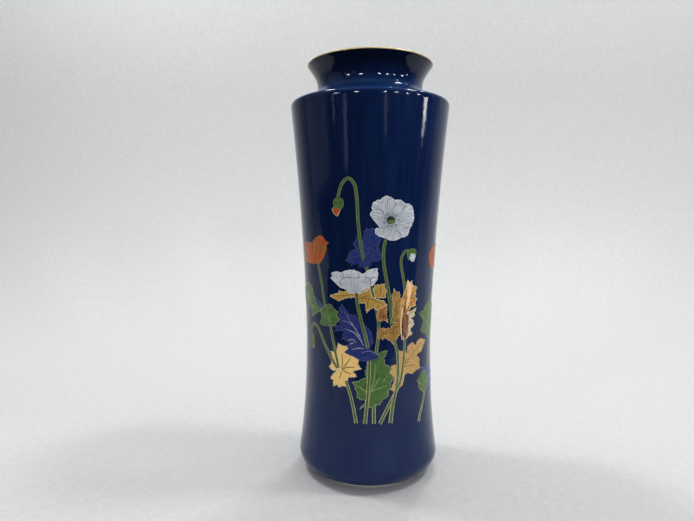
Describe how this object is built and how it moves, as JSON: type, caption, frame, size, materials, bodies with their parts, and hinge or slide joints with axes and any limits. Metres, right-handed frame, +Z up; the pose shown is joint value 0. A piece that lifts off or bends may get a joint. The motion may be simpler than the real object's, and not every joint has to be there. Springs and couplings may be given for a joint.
{
  "type": "flower vase",
  "caption": "Tall waisted porcelain flower vase with a hollow body, a flared gilded lip and fired-on poppies over a dark blue glaze; it stands on a flat foot ring.",
  "frame": {"origin": "centre of the foot ring's underside, on the surface the vase stands on", "axes": "+Z up along the vase's axis; -Y towards the front decoration; +X to its right"},
  "size_m": [0.0986, 0.0986, 0.255],
  "materials": {
    "porcelain": "gloss",
    "cobalt_glaze": "gloss",
    "gold": "polished",
    "white_enamel": "satin",
    "green_enamel": "satin",
    "orange_enamel": "satin",
    "violet_enamel": "satin"
  },
  "bodies": {
    "root": {"porcelain_body": "porcelain", "cobalt_glaze": "cobalt_glaze", "rim_gilding": "gold", "back_big_gold_leaf": "gold", "back_centre_green_leaf": "green_enamel", "back_centre_stem": "green_enamel", "back_drooping_bud": "green_enamel", "back_far_blue_leaf": "violet_enamel", "back_far_green_leaf": "green_enamel", "back_far_orange_poppy": "orange_enamel", "back_left_gold_leaf": "gold", "back_left_gold_leaf_stem": "green_enamel", "back_lobed_leaf": "green_enamel", "back_lower_blue_leaf": "violet_enamel", "back_lower_poppy_stem": "green_enamel", "back_nodding_bud_stem": "green_enamel", "back_nodding_bud_tip": "orange_enamel", "back_orange_poppy": "orange_enamel", "back_orange_poppy_stem": "green_enamel", "back_pointed_green_leaf": "green_enamel", "back_right_gold_leaf": "gold", "back_round_leaf": "green_enamel", "back_side_gold_leaf": "gold", "back_side_poppy": "white_enamel", "back_side_poppy_stem": "green_enamel", "back_upper_blue_leaf": "violet_enamel", "back_white_bud_petals": "white_enamel", "back_white_bud_stem": "green_enamel", "back_white_poppy": "white_enamel", "back_white_poppy_centre": "green_enamel", "back_white_poppy_stem": "green_enamel", "front_big_gold_leaf": "gold", "front_centre_green_leaf": "green_enamel", "front_centre_stem": "green_enamel", "front_drooping_bud": "green_enamel", "front_far_blue_leaf": "violet_enamel", "front_far_green_leaf": "green_enamel", "front_far_orange_poppy": "orange_enamel", "front_left_gold_leaf": "gold", "front_left_gold_leaf_stem": "green_enamel", "front_lobed_leaf": "green_enamel", "front_lower_blue_leaf": "violet_enamel", "front_lower_poppy_stem": "green_enamel", "front_nodding_bud_stem": "green_enamel", "front_nodding_bud_tip": "orange_enamel", "front_orange_poppy": "orange_enamel", "front_orange_poppy_stem": "green_enamel", "front_pointed_green_leaf": "green_enamel", "front_right_gold_leaf": "gold", "front_round_leaf": "green_enamel", "front_side_gold_leaf": "gold", "front_side_poppy": "white_enamel", "front_side_poppy_stem": "green_enamel", "front_upper_blue_leaf": "violet_enamel", "front_white_bud_petals": "white_enamel", "front_white_bud_stem": "green_enamel", "front_white_poppy": "white_enamel", "front_white_poppy_centre": "green_enamel", "front_white_poppy_stem": "green_enamel"}
  },
  "joints": []
}
